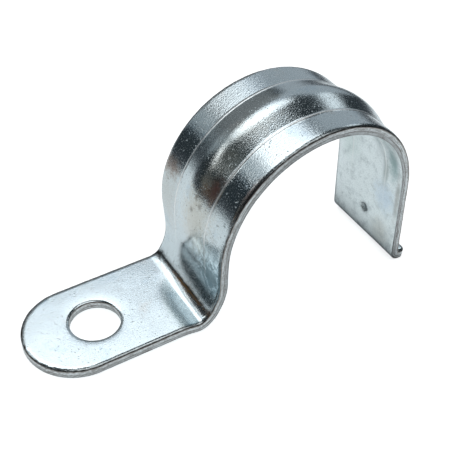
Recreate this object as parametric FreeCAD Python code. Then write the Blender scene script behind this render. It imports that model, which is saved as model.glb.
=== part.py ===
import FreeCAD, Part

import math
import os

# Conduit strap: one strip of zinc-plated steel, blanked, ribbed and bent in a press.
# It has a flat screw tab, a near leg, a saddle that holds the conduit, a far leg
# and a turned toe that bears on the wall.
# Frame: X runs from the tab to the toe, Y along the conduit and Z away from the wall.
# The origin is the middle of the screw hole, on the tab's underside.

# Driving dimensions, in millimetres and degrees.

SHEET = 1.1
CONDUIT_RADIUS = 10.65
HOLE_TO_CONDUIT = 22.7
CONDUIT_HEIGHT = 8.0

TAB_WIDTH = 11.2
TAB_END_REACH = 7.5
HOLE_RADIUS = 2.6
HOLE_RIM_ROLL = 0.2

FOOT_SWEEP_RADIUS = 1.7
FOOT_SWEEP_TURN = 33.0
FOOT_FOLD_RADIUS = 0.85
FOOT_FOLD_TURN = 22.0
HEEL_SWEEP_RADIUS = 5.5
NEAR_LEG_LEAN = 1.5
FAR_LEG_LEAN = 1.1
FAR_LEG_LENGTH = 9.45

TOE_BEND_RADIUS = 0.4
TOE_TURN = 80.0
TOE_FLAT = 0.85
TOE_CORNER_RADIUS = 0.7

SADDLE_WIDTH = 12.6
TOE_WIDTH = 10.3
FLARE_START_ABOVE_TAB = 0.3
FLARE_RISE = 12.0

RIB_WIDTH = 6.0
RIB_HEIGHT = 0.65
RIB_CROWN_RADIUS = 4.2

EDGE_BEVEL = 0.22

DIMPLE_RADIUS = 0.6
DIMPLE_DEPTH = 0.35
DIMPLE_ABOVE_TOE_BEND = 2.75

# How far a cutting or trimming body stands past what it cuts.
OVERCUT = 2.0


def point(x, z, y=0.0):
    """A place in the side view, at a given distance along the conduit."""
    return FreeCAD.Vector(x, y, z)


def heading(angle):
    """Unit vector in the side view, by its angle above +X."""
    return point(math.cos(math.radians(angle)), math.sin(math.radians(angle)))


def left_of(direction):
    """The direction turned a quarter turn to the left in the side view."""
    return point(-direction.z, direction.x)


def arc_edge(start, middle, end):
    """Circular edge through three places."""
    return Part.Arc(start, middle, end).toShape()


def line_edge(start, end):
    """Straight edge between two places."""
    return Part.LineSegment(start, end).toShape()


class StripPen:
    """Draws both faces of a bent strip at once, as tangent lines and arcs.

    The pen runs along the conduit side. The outer side lies one sheet
    thickness to the left of it.
    """

    def __init__(self, start, angle):
        self.place = start
        self.angle = angle
        self.inner_edges = {}
        self.outer_edges = {}

    def outer_place(self):
        """The place across the sheet from the pen."""
        return self.place + left_of(heading(self.angle)) * SHEET

    def forward(self, name, length):
        """Draws a flat stretch."""
        start, outer_start = self.place, self.outer_place()
        self.place = start + heading(self.angle) * length
        self.inner_edges[name] = line_edge(start, self.place)
        self.outer_edges[name] = line_edge(outer_start, self.outer_place())

    def turn(self, name, inner_radius, angle):
        """Draws a bend. Its inner_radius is of the conduit side; left turns are positive."""
        side = math.copysign(1.0, angle)
        centre = self.place + left_of(heading(self.angle)) * (side * inner_radius)
        sides = ((inner_radius, self.inner_edges), (inner_radius - side * SHEET, self.outer_edges))
        for radius, edges in sides:
            spokes = [left_of(heading(self.angle + angle * share)) * (-side * radius)
                      for share in (0.0, 0.5, 1.0)]
            edges[name] = arc_edge(*[centre + spoke for spoke in spokes])
        self.angle += angle
        self.place = centre + left_of(heading(self.angle)) * (-side * inner_radius)

    def section(self):
        """The closed face between both sides."""
        sides = [list(self.inner_edges.values()), list(self.outer_edges.values())]
        starts = [edges[0].firstVertex().Point for edges in sides]
        ends = [line_edge(*starts), line_edge(self.place, self.outer_place())]
        return Part.Face(Part.Wire(Part.__sortEdges__(sides[0] + sides[1] + ends)))


def conduit_axis():
    """Middle of the saddle in the side view."""
    return point(HOLE_TO_CONDUIT, CONDUIT_HEIGHT)


def near_leg_angle():
    """Direction of the near leg, going up."""
    return 90.0 + NEAR_LEG_LEAN


def saddle_turn():
    """Angle that the saddle wraps round the conduit."""
    return 180.0 + NEAR_LEG_LEAN - FAR_LEG_LEAN


def saddle_start():
    """Where the near leg meets the saddle, on the conduit side."""
    return conduit_axis() + left_of(heading(near_leg_angle())) * CONDUIT_RADIUS


def bend_foot(pen):
    """Draws the foot bend: a sweep off the tab, a tight fold and a wide sweep into the leg."""
    pen.turn("foot_sweep", FOOT_SWEEP_RADIUS + SHEET, FOOT_SWEEP_TURN)
    pen.turn("foot_fold", FOOT_FOLD_RADIUS + SHEET, FOOT_FOLD_TURN)
    heel_turn = near_leg_angle() - FOOT_SWEEP_TURN - FOOT_FOLD_TURN
    pen.turn("heel_sweep", HEEL_SWEEP_RADIUS + SHEET, heel_turn)


def draw_strip():
    """Runs the pen from just past the tab's round end to the toe's tip."""
    leg = heading(near_leg_angle())
    trial = StripPen(point(0, 0), 0.0)
    bend_foot(trial)
    leg_length = (saddle_start().z - trial.place.z) / leg.z
    bend_start = saddle_start() - leg * leg_length - trial.place
    blank_end = -TAB_END_REACH - OVERCUT
    pen = StripPen(point(blank_end, 0), 0.0)
    pen.forward("tab", bend_start.x - blank_end)
    bend_foot(pen)
    pen.forward("near_leg", leg_length)
    pen.turn("saddle", CONDUIT_RADIUS, -saddle_turn())
    pen.forward("far_leg", FAR_LEG_LENGTH)
    pen.turn("toe_bend", TOE_BEND_RADIUS + SHEET, TOE_TURN)
    pen.forward("toe", TOE_FLAT)
    return pen


def across(shape, width):
    """Shape of the side view pushed out to a width, half on each side of the middle."""
    shape = shape.copy()
    shape.translate(FreeCAD.Vector(0, -width / 2, 0))
    return shape.extrude(FreeCAD.Vector(0, width, 0))


def mirrored_outline(edges, mirror_normal):
    """Closed face from one half of an outline and its mirror image."""
    other = [edge.mirror(FreeCAD.Vector(), mirror_normal) for edge in edges]
    return Part.Face(Part.Wire(Part.__sortEdges__(edges + other)))


def plan_trim(pen):
    """Body with the strap's outline from above: round tab end and narrowing far side."""
    low, high = -CONDUIT_HEIGHT - FAR_LEG_LENGTH, CONDUIT_HEIGHT + CONDUIT_RADIUS + SHEET + OVERCUT
    half_tab, half_saddle, half_toe = TAB_WIDTH / 2, SADDLE_WIDTH / 2, TOE_WIDTH / 2
    end_centre = half_tab - TAB_END_REACH
    taper_start = HOLE_TO_CONDUIT - CONDUIT_RADIUS * math.sqrt(0.5)
    toe_tip = pen.place.x + OVERCUT
    run = toe_tip - taper_start
    drop = half_saddle - half_toe
    taper_radius = (run ** 2 + drop ** 2) / (2 * drop)
    half_way = taper_start + run / 2
    half_way_drop = taper_radius - math.sqrt(taper_radius ** 2 - (run / 2) ** 2)
    slant = half_tab * math.sqrt(0.5)
    edges = [
        arc_edge(point(end_centre - half_tab, low), point(end_centre - slant, low, slant),
                 point(end_centre, low, half_tab)),
        line_edge(point(end_centre, low, half_tab), point(end_centre, low, half_saddle)),
        line_edge(point(end_centre, low, half_saddle), point(taper_start, low, half_saddle)),
        arc_edge(point(taper_start, low, half_saddle), point(half_way, low, half_saddle - half_way_drop),
                 point(toe_tip, low, half_toe)),
        line_edge(point(toe_tip, low, half_toe), point(toe_tip, low)),
    ]
    outline = mirrored_outline(edges, FreeCAD.Vector(0, 1, 0))
    return outline.extrude(FreeCAD.Vector(0, 0, high - low))


def end_view_trim(pen):
    """Body with the near side's outline from the tab's end: narrow foot, wider saddle."""
    back, front = -TAB_END_REACH - 2 * OVERCUT, pen.place.x + OVERCUT
    low, high = -CONDUIT_HEIGHT - FAR_LEG_LENGTH, CONDUIT_HEIGHT + CONDUIT_RADIUS + SHEET + OVERCUT
    half_tab, half_saddle = TAB_WIDTH / 2, SADDLE_WIDTH / 2
    flare_start = SHEET + FLARE_START_ABOVE_TAB
    flare_middle, flare_end = flare_start + FLARE_RISE / 2, flare_start + FLARE_RISE
    swell = half_saddle - half_tab
    flare_radius = (FLARE_RISE ** 2 + swell ** 2) / (4 * swell)
    bulge = flare_radius - math.sqrt(flare_radius ** 2 - (FLARE_RISE / 4) ** 2)
    edges = [
        line_edge(point(back, low), point(back, low, half_tab)),
        line_edge(point(back, low, half_tab), point(back, flare_start, half_tab)),
        arc_edge(point(back, flare_start, half_tab),
                 point(back, flare_start + FLARE_RISE / 4, half_tab + bulge),
                 point(back, flare_middle, half_tab + swell / 2)),
        arc_edge(point(back, flare_middle, half_tab + swell / 2),
                 point(back, flare_end - FLARE_RISE / 4, half_saddle - bulge),
                 point(back, flare_end, half_saddle)),
        line_edge(point(back, flare_end, half_saddle), point(back, high, half_saddle)),
        line_edge(point(back, high, half_saddle), point(back, high)),
    ]
    near_side = mirrored_outline(edges, FreeCAD.Vector(0, 1, 0)).extrude(
        FreeCAD.Vector(HOLE_TO_CONDUIT - back, 0, 0))
    far_side = Part.makeBox(front - HOLE_TO_CONDUIT, SADDLE_WIDTH, high - low,
                            FreeCAD.Vector(HOLE_TO_CONDUIT, -half_saddle, low))
    return near_side.fuse(far_side)


def round_toe_corners(strip, pen):
    """Rounds the two corners of the toe's tip."""
    tip = (pen.place + pen.outer_place()) * 0.5
    reach = SHEET / 2
    corners = [edge for edge in strip.Edges
               if abs(edge.CenterOfMass.y) > TOE_WIDTH / 4
               and math.hypot(edge.CenterOfMass.x - tip.x, edge.CenterOfMass.z - tip.z) < reach / 2]
    return strip.makeFillet(TOE_CORNER_RADIUS, corners)


def outer_rim(strip, pen):
    """The outer side's rim edges, which the blanking punch leaves rounded over."""
    outer_line = Part.Wire(list(pen.outer_edges.values()))
    rim = []
    for edge in strip.Edges:
        middle = edge.valueAt((edge.FirstParameter + edge.LastParameter) / 2)
        ends = [vertex.Point for vertex in edge.Vertexes]
        crosses = all(math.hypot(p.x - middle.x, p.z - middle.z) < SHEET / 100 for p in ends)
        places = ends + [middle]
        on_outer = all(outer_line.distToShape(Part.Vertex(point(p.x, p.z)))[0] < SHEET / 100
                       for p in places)
        if on_outer and not crosses:
            rim.append(edge)
    return rim


def rib_flank_slope():
    """Slope, in radians, of the flanks that run straight from the rib's crown to its creases."""
    both = 2 * RIB_CROWN_RADIUS - RIB_HEIGHT
    root = math.sqrt(RIB_WIDTH ** 2 - 4 * RIB_HEIGHT * both)
    return 2 * math.atan((RIB_WIDTH - root) / (2 * both))


def rib_ring(face_radius, crown_radius):
    """Ring with the rib's section that stands on a face round the conduit's axis.

    The section is a round crown between two straight flanks. Its root lies one
    sheet thickness below the face. The ring is open at the bottom.
    """
    axis, slope = conduit_axis(), rib_flank_slope()
    crown = face_radius + RIB_HEIGHT
    crown_end = crown - crown_radius * (1 - math.cos(slope))
    half_crown = crown_radius * math.sin(slope)
    half_width = half_crown + (crown_end - face_radius) / math.tan(slope)
    profile = [(crown_end, half_crown), (face_radius, half_width), (face_radius - SHEET, half_width)]
    corners = [axis + point(0, radius, half) for radius, half in profile]
    corners += [axis + point(0, radius, -half) for radius, half in reversed(profile)]
    edges = [line_edge(*ends) for ends in zip(corners, corners[1:])]
    edges.append(arc_edge(corners[-1], axis + point(0, crown), corners[0]))
    section = Part.Face(Part.Wire(edges))
    past_level = math.degrees(math.acos(CONDUIT_RADIUS / (CONDUIT_RADIUS + SHEET + RIB_HEIGHT))) + 5.0
    section.rotate(axis, FreeCAD.Vector(0, 1, 0), -90.0 - past_level)
    return section.revolve(axis, FreeCAD.Vector(0, 1, 0), 180.0 + 2 * past_level)


def conduit_space(pen):
    """The room under the saddle and between the legs, which the rib must leave open."""
    bounds = ("foot_sweep", "foot_fold", "heel_sweep", "near_leg", "saddle", "far_leg")
    edges = [pen.inner_edges[name] for name in bounds]
    start, end = edges[0].firstVertex().Point, edges[-1].lastVertex().Point
    return across(Part.Face(Part.Wire(edges + [line_edge(end, start)])), SADDLE_WIDTH)


def press_rib(strip, pen):
    """Raises the rib over the saddle, with its groove on the conduit side."""
    outside = rib_ring(CONDUIT_RADIUS + SHEET, RIB_CROWN_RADIUS)
    groove = rib_ring(CONDUIT_RADIUS, RIB_CROWN_RADIUS - SHEET)
    return strip.fuse(outside.cut(conduit_space(pen))).cut(groove)


def punch_hole(strip):
    """Cuts the screw hole and rolls its upper rim."""
    drill = Part.makeCylinder(HOLE_RADIUS, SHEET + 2 * OVERCUT, FreeCAD.Vector(0, 0, -OVERCUT))
    strip = strip.cut(drill)
    rim = [edge for edge in strip.Edges
           if isinstance(edge.Curve, Part.Circle) and abs(edge.Curve.Radius - HOLE_RADIUS) < 1e-6
           and abs(edge.Curve.Center.z - SHEET) < 1e-6]
    return strip.makeFillet(HOLE_RIM_ROLL, rim)


def press_dimple(strip, pen):
    """Makes the shallow punch mark on the conduit side of the far leg."""
    toe_bend = pen.inner_edges["far_leg"].lastVertex().Point
    along = heading(near_leg_angle() - saddle_turn())
    place = toe_bend - along * DIMPLE_ABOVE_TOE_BEND
    ball_radius = (DIMPLE_RADIUS ** 2 + DIMPLE_DEPTH ** 2) / (2 * DIMPLE_DEPTH)
    centre = place + left_of(along) * (DIMPLE_DEPTH - ball_radius)
    return strip.cut(Part.makeSphere(ball_radius, centre))


def build_strap():
    """The whole strap as one solid."""
    pen = draw_strip()
    strip = across(pen.section(), SADDLE_WIDTH + 2 * OVERCUT)
    strip = strip.common(end_view_trim(pen)).common(plan_trim(pen))
    strip = round_toe_corners(strip, pen)
    strip = strip.makeChamfer(EDGE_BEVEL, outer_rim(strip, pen))
    strip = press_rib(strip, pen)
    strip = punch_hole(strip)
    strip = press_dimple(strip, pen)
    return strip.removeSplitter().Solids[0]


def main():
    """Writes the strap as one STEP file."""
    os.makedirs("parts", exist_ok=True)
    strap = build_strap()
    print("strap: valid", strap.isValid(), "volume", round(strap.Volume, 1), "box", strap.BoundBox)
    strap.exportStep("parts/strap.step")


if __name__ == "__main__":
    main()
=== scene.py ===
"""Looks of a one-hole conduit strap, pressed from zinc-plated sheet steel.

The strap is made here as the press shop makes it. A flat blank is punched, its
edges are rolled, it is bent along the path of the strip, and the rib and the
punch mark are pressed into it. Lengths are in millimetres until the finished
mesh is scaled to metres.
"""

from __future__ import annotations

import logging
import math
from dataclasses import dataclass, field
from enum import Enum
from functools import cached_property

import bmesh
import bpy
from mathutils import Matrix, Vector, noise


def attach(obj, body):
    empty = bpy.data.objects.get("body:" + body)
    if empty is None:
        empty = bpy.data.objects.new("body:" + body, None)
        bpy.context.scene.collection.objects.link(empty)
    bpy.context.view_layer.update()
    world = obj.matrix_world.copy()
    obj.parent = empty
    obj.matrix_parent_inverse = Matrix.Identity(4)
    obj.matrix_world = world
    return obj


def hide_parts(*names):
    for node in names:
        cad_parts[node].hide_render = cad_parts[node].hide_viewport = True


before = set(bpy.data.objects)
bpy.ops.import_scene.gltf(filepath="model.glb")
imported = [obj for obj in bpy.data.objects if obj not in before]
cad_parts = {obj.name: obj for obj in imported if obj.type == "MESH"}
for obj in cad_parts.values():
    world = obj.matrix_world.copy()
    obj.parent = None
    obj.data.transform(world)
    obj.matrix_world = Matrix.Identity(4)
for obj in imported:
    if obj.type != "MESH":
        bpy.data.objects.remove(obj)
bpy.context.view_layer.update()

log = logging.getLogger("strap")

Tree = bpy.types.NodeTree
Socket = bpy.types.NodeSocket
BMesh = bmesh.types.BMesh
BMVert = bmesh.types.BMVert

METRES_PER_MM = 0.001
# Corners closer than this are one, in millimetres.
SAME_MM = 1e-5
# Corners whose heights differ by less are level with each other.
LEVEL_MM = 1e-6
# A corner this close to the blank's outline, or to the hole's, lies on it.
ON_OUTLINE_MM = 1e-4
ON_HOLE_MM = 1e-3


class Side(Enum):
    """Which way a region of the sheet faces."""

    OUTER = "outer"
    CONDUIT = "conduit"


def linear(hex_colour: str) -> tuple[float, float, float, float]:
    """Turns an sRGB hex colour into Blender's linear colour.

    Args:
        hex_colour: Six hex digits, with or without a leading hash.

    Returns:
        Red, green, blue and an alpha of 1.
    """
    digits = hex_colour.lstrip("#")
    parts = [int(digits[i:i + 2], 16) / 255 for i in (0, 2, 4)]
    values = [p / 12.92 if p <= 0.04045 else ((p + 0.055) / 1.055) ** 2.4 for p in parts]
    return (*values, 1.0)


class Node(Enum):
    """Shader nodes in use: kind, settings, order of the inputs given, and the output read."""

    CARRIED = ("Attribute", {}, (), "Fac")
    UV_MAP = ("UVMap", {}, (), "UV")
    OBJECT_PLACE = ("TexCoord", {}, (), "Object")
    PLACED = ("Mapping", {}, ("Vector", "Scale", "Location"), "Vector")
    NOISE = ("TexNoise", {}, ("Vector", "Scale", "Detail", "Roughness"), "Fac")
    CELLS = ("TexVoronoi", {}, ("Vector", "Scale", "Randomness"), "Distance")
    TONES = ("ValToRGB", {}, ("Fac",), "Color")
    LESS = ("Math", {"operation": "LESS_THAN"}, (0, 1), "Value")
    PLUS = ("Math", {"operation": "ADD"}, (0, 1), "Value")
    MINUS = ("Math", {"operation": "SUBTRACT"}, (0, 1), "Value")
    TIMES = ("Math", {"operation": "MULTIPLY"}, (0, 1), "Value")
    TIMES_PLUS = ("Math", {"operation": "MULTIPLY_ADD"}, (0, 1, 2), "Value")
    POWER = ("Math", {"operation": "POWER"}, (0, 1), "Value")
    LARGER = ("Math", {"operation": "MAXIMUM"}, (0, 1), "Value")
    LENGTH = ("VectorMath", {"operation": "LENGTH"}, (0,), "Value")
    DISTANCE = ("VectorMath", {"operation": "DISTANCE"}, (0, 1), "Value")
    STRETCHED = ("VectorMath", {"operation": "MULTIPLY"}, (0, 1), "Vector")
    EASE = ("MapRange", {"interpolation_type": "SMOOTHSTEP"},
            ("Value", "From Min", "From Max", "To Min", "To Max"), "Result")
    VALUE_MIX = ("Mix", {"data_type": "FLOAT"}, (0, 2, 3), 0)
    COLOUR_MIX = ("Mix", {"data_type": "RGBA"}, (0, 6, 7), 2)
    DARKEN = ("Mix", {"data_type": "RGBA", "blend_type": "MULTIPLY"}, (0, 6, 7), 2)
    BUMP = ("Bump", {}, ("Strength", "Distance", "Height"), "Normal")
    METAL = ("BsdfPrincipled", {}, ("Base Color", "Metallic", "Roughness", "Normal"), "BSDF")
    MATT = ("BsdfDiffuse", {}, ("Color",), "BSDF")
    GLOW = ("Emission", {}, ("Color", "Strength"), "Emission")
    BACKGROUND = ("Background", {}, ("Color",), "Background")
    BOTH = ("AddShader", {}, (0, 1), "Shader")
    EITHER = ("MixShader", {}, (0, 1, 2), "Shader")
    CAMERA_RAY = ("LightPath", {}, (), "Is Camera Ray")
    GLOSSY_RAY = ("LightPath", {}, (), "Is Glossy Ray")
    TRANSMISSION_RAY = ("LightPath", {}, (), "Is Transmission Ray")
    SURFACE = ("OutputMaterial", {}, ("Surface",), None)
    WORLD = ("OutputWorld", {}, ("Surface",), None)


def add_node(tree: Tree, node_kind: Node, *values: object, **settings: object) -> Socket | None:
    """Adds one node with its settings, input values and incoming links.

    Args:
        tree: Node tree that gets the node.
        node_kind: Which of the nodes in use it is.
        values: Value or source socket for each input, in the order that the kind gives.
        settings: Further properties of the node itself.

    Returns:
        The output that the kind names, or None where it has none.
    """
    kind, fixed, order, output = node_kind.value
    node = tree.nodes.new(f"ShaderNode{kind}")
    for name, value in (fixed | settings).items():
        setattr(node, name, value)
    for name, value in zip(order, values):
        if isinstance(value, Socket):
            tree.links.new(value, node.inputs[name])
        else:
            node.inputs[name].default_value = value
    return None if output is None else node.outputs[output]


def empty_material(name: str) -> bpy.types.Material:
    """Makes a material whose node tree is still empty.

    Args:
        name: What the material is.

    Returns:
        The new material.
    """
    material = bpy.data.materials.new(name)
    material.use_nodes = True
    material.node_tree.nodes.clear()
    return material


def fill_tones(ramp: bpy.types.ColorRamp, tones: tuple[tuple[float, str], ...]) -> None:
    """Sets a row of places and hex tones on a new colour ramp.

    Args:
        ramp: The ramp, which still has its first two elements.
        tones: Place and tone of each step, in order.
    """
    for element, (place, tone) in zip(ramp.elements, (tones[0], tones[-1])):
        element.position, element.color = place, linear(tone)
    for place, tone in tones[1:-1]:
        ramp.elements.new(place).color = linear(tone)


def finish_metal(tree: Tree, colour: Socket, roughness: Socket | float, height: Socket,
                 bump_mm: float) -> None:
    """Ends a node tree with a metal surface and its fine relief.

    Args:
        tree: The material's node tree.
        colour: Colour of the metal.
        roughness: Its roughness.
        height: Its relief, as a share of the bump's height.
        bump_mm: Height of the relief in millimetres.
    """
    normal = add_node(tree, Node.BUMP, 1.0, bump_mm * METRES_PER_MM, height)
    add_node(tree, Node.SURFACE, add_node(tree, Node.METAL, colour, 1.0, roughness, normal))


def add_object(name: str, data: bpy.types.ID) -> bpy.types.Object:
    """Puts a mesh, lamp or camera into the scene.

    Args:
        name: Name of the new object.
        data: What it shows.

    Returns:
        The object, which stands at the origin.
    """
    made = bpy.data.objects.new(name, data)
    bpy.context.scene.collection.objects.link(made)
    return made


def finished_mesh(bm: BMesh, name: str) -> bpy.types.Mesh:
    """Turns a bmesh into a mesh and frees it.

    Args:
        bm: The bmesh, in metres.
        name: Name of the new mesh.

    Returns:
        The mesh.
    """
    mesh = bpy.data.meshes.new(name)
    bm.to_mesh(mesh)
    bm.free()
    return mesh


@dataclass(frozen=True)
class Stain:
    """A soft-edged mark on the plated face, placed and sized in millimetres on the flat blank."""

    along: float
    across: float
    length: float
    width: float
    strength: float
    colour: str
    side: Side = Side.OUTER


@dataclass(frozen=True)
class ZincPlate:
    """Bright zinc with a clear passivation, plated on cold-rolled steel sheet.

    It gives a cool, half-sharp reflection, broken up by the grain of the sheet and
    by small pits, with painted shade along the rolled edges and brown where the plating is rubbed.
    The real grain and speckle are finer. They are drawn as coarse as it takes to show.
    """

    name: str = "clear_passivated_zinc_on_rolled_steel"
    colour: str = "d1dadd"
    cool_stain: str = "c0ced6"
    warm_stain: str = "d3d7d7"
    # Whiter colour of the beads along the creases: burnished, and brightened as a painted highlight
    # line.
    burnished: str = "f2f3f2"
    mottle: str = "99a4a6"
    # Lighter colour of the conduit side than of the outer face: painted light.
    inner_painted_light: str = "eef4f4"
    # Near-black of the painted shade along the rolled rims.
    rim_shade: str = "3a3633"
    roughness: float = 0.11
    roughness_drift: tuple[float, float] = (-0.03, 0.05)
    drift_cloud: tuple[float, float] = (0.3, 0.7)
    dull_grain: tuple[float, float] = (0.50, 0.70)
    grain_roughness: float = 0.20
    pit_roughness: float = 0.60
    inner_roughness: float = 0.36
    burnished_roughness: float = 0.42
    stained_roughness: float = 0.45
    grain_mm: float = 0.14
    speckle_mm: float = 0.13
    speckle_share: float = 0.22
    speckle_step: tuple[float, float] = (0.38, 0.60)
    dent_mm: float = 1.1
    dent_share: float = 0.20
    roll_line_mm: tuple[float, float] = (2.6, 0.16)
    roll_line_share: float = 0.25
    cloud_mm: float = 3.5
    mottle_mm: float = 1.1
    mottle_share: float = 0.42
    mottle_cloud: tuple[float, float] = (0.46, 0.66)
    pit_mm: float = 0.36
    pit_rim: tuple[float, float] = (0.10, 0.26)
    pit_density: tuple[float, float] = (0.15, 0.9)
    pit_cloud: tuple[float, float] = (0.40, 0.62)
    pit_dirt: float = 0.42
    bump_mm: float = 0.0135
    inner_relief: float = 0.22
    inner_side: float = 0.25
    # Painted rim shade: where it begins on the roll, and how far noise thins it.
    rim_shade_roll: tuple[float, float] = (0.08, 0.62)
    thin_rim_shade: float = 0.35
    rim_shade_step: tuple[float, float] = (0.28, 0.56)
    stain_edge: tuple[float, float] = (0.9, 1.9)
    stain_unevenness: float = 1.6
    stain_dulling: float = 3.0
    stains: tuple[Stain, ...] = ()

    def build(self) -> bpy.types.Material:
        """Makes the node material.

        Returns:
            The material for the flat and bent faces.
        """
        material = empty_material(self.name)
        tree = material.node_tree
        stock = add_node(tree, Node.UV_MAP, uv_map="stock")
        through = add_node(tree, Node.CARRIED, attribute_name="through")
        inner = add_node(tree, Node.LESS, through, self.inner_side)
        pitted = self._pits(tree, stock)
        colour, rubbed = self._colour(tree, stock, inner, pitted)
        gloss = self._gloss(tree, stock, pitted)
        plain = add_node(tree, Node.VALUE_MIX, inner, gloss, self.inner_roughness)
        worn = add_node(tree, Node.VALUE_MIX, rubbed, plain, self.stained_roughness)
        burnish_and_highlight = add_node(tree, Node.CARRIED, attribute_name="burnish_and_highlight")
        roughness = add_node(tree, Node.VALUE_MIX, burnish_and_highlight, worn, self.burnished_roughness)
        height = self._relief(tree, stock, inner, pitted)
        finish_metal(tree, colour, roughness, height, self.bump_mm)
        return material

    def _pits(self, tree: Tree, stock: Socket) -> Socket:
        """Small dull pits in the plating, which lie closer together in some places.

        Args:
            tree: The material's node tree.
            stock: Place on the flat blank, in millimetres.

        Returns:
            How far a place lies in a pit.
        """
        gaps = add_node(tree, Node.CELLS, stock, 1 / self.pit_mm, 1.0)
        dense = add_node(tree, Node.NOISE, stock, 3 / self.cloud_mm, 3.0, 0.6)
        pit = add_node(tree, Node.EASE, gaps, *self.pit_rim, 1.0, 0.0)
        return add_node(tree, Node.TIMES, pit, add_node(
            tree, Node.EASE, dense, *self.pit_cloud, *self.pit_density))

    def _gloss(self, tree: Tree, stock: Socket, pitted: Socket) -> Socket:
        """Roughness of the outer faces: a slow drift, a fine grain and dull pits.

        Args:
            tree: The material's node tree.
            stock: Place on the flat blank, in millimetres.
            pitted: How far a place lies in a pit.

        Returns:
            The roughness.
        """
        cloud = add_node(tree, Node.NOISE, stock, 1 / self.cloud_mm, 4.0, 0.55)
        low, high = (self.roughness + drift for drift in self.roughness_drift)
        grain = add_node(tree, Node.NOISE, stock, 1 / self.speckle_mm, 1.0, 0.6)
        slow = add_node(tree, Node.EASE, cloud, *self.drift_cloud, low, high)
        quick = add_node(tree, Node.EASE, grain, *self.dull_grain, 0.0, self.grain_roughness)
        strain = add_node(tree, Node.CARRIED, attribute_name="strain")
        strained = add_node(tree, Node.TIMES, pitted, strain)
        dull = add_node(tree, Node.PLUS, slow, quick)
        return add_node(tree, Node.VALUE_MIX, strained, dull, self.pit_roughness)

    def _relief(self, tree: Tree, stock: Socket, inner: Socket, pitted: Socket) -> Socket:
        """Fine relief: grain, rolling lines, shallow dents and pits, weaker on the conduit side.

        Args:
            tree: The material's node tree.
            stock: Place on the flat blank, in millimetres.
            inner: Whether a place is on the conduit side.
            pitted: How far a place lies in a pit.

        Returns:
            The relief's height.
        """
        along, across = self.roll_line_mm
        lines = add_node(tree, Node.PLACED, stock, (1 / along, 1 / across, 1.0))
        height = add_node(tree, Node.NOISE, stock, 1 / self.grain_mm, 2.0, 0.6)
        for share, layer in (
            (self.roll_line_share, add_node(tree, Node.NOISE, lines, 1.0, 3.0, 0.6)),
            (self.dent_share, add_node(tree, Node.NOISE, stock, 1 / self.dent_mm, 1.0, 0.6)),
            (-1.0, pitted),
        ):
            height = add_node(tree, Node.TIMES_PLUS, layer, share, height)
        strain = add_node(tree, Node.CARRIED, attribute_name="strain")
        weight = add_node(tree, Node.VALUE_MIX, inner, strain, self.inner_relief)
        return add_node(tree, Node.TIMES, height, weight)

    def _colour(self, tree: Tree, stock: Socket, inner: Socket,
                pitted: Socket) -> tuple[Socket, Socket]:
        """Colour of the plating with its clouds, speckle, painted shade along the rolled rims, and
        stains.

        Args:
            tree: The material's node tree.
            stock: Place on the flat blank, in millimetres.
            inner: Whether a place is on the conduit side.
            pitted: How far a place lies in a pit.

        Returns:
            The colour, and how far the stains have dulled the surface.
        """
        mottle = linear(self.mottle)
        cloud = add_node(tree, Node.NOISE, stock, 1 / self.cloud_mm, 4.0, 0.55)
        outside = add_node(tree, Node.TONES, cloud)
        fill_tones(outside.node.color_ramp, (
            (0.30, self.cool_stain), (0.42, self.colour), (0.62, self.colour),
            (0.72, self.warm_stain)))
        blotch = add_node(tree, Node.NOISE, stock, 1 / self.mottle_mm, 6.0, 0.72)
        blotched = add_node(tree, Node.EASE, blotch, *self.mottle_cloud, 0.0, self.mottle_share)
        # Conduit side: a lighter base colour as painted light, blotched at random with the mottle.
        inside = add_node(tree, Node.COLOUR_MIX, blotched, linear(self.inner_painted_light), mottle)
        colour = add_node(tree, Node.COLOUR_MIX, inner, outside, inside)
        speckle = add_node(tree, Node.NOISE, stock, 1 / self.speckle_mm, 1.0, 0.6)
        spotted = add_node(tree, Node.EASE, speckle, *self.speckle_step, self.speckle_share, 0.0)
        colour = add_node(tree, Node.DARKEN, spotted, colour, mottle)
        soiled = add_node(tree, Node.TIMES, pitted, self.pit_dirt)
        strain = add_node(tree, Node.CARRIED, attribute_name="strain")
        strained = add_node(tree, Node.TIMES, soiled, strain)
        colour = add_node(tree, Node.DARKEN, strained, colour, mottle)
        broken = add_node(tree, Node.NOISE, stock, 1 / (self.mottle_mm / 2), 4.0, 0.7)
        # Painted shade along the rolled rims, broken up by noise; the same share dulls the surface.
        rim = add_node(tree, Node.CARRIED, attribute_name="rim")
        rim_shade_and_stains = add_node(tree, Node.TIMES,
                          add_node(tree, Node.EASE, rim, *self.rim_shade_roll, 0.0, 1.0),
                          add_node(tree, Node.EASE, broken, *self.rim_shade_step, self.thin_rim_shade, 1.0))
        colour = add_node(tree, Node.COLOUR_MIX, rim_shade_and_stains, colour, linear(self.rim_shade))
        for stain in self.stains:
            share = self._stain_share(tree, stock, broken, inner, stain)
            colour = add_node(tree, Node.COLOUR_MIX, share, colour, linear(stain.colour))
            dull = add_node(tree, Node.POWER, share, self.stain_dulling)
            rim_shade_and_stains = add_node(tree, Node.LARGER, rim_shade_and_stains, dull)
        # The beads along the creases: burnished, and whitened and roughened as a painted highlight
        # line.
        burnish_and_highlight = add_node(tree, Node.CARRIED, attribute_name="burnish_and_highlight")
        bright = linear(self.burnished)
        return add_node(tree, Node.COLOUR_MIX, burnish_and_highlight, colour, bright), rim_shade_and_stains

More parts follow.
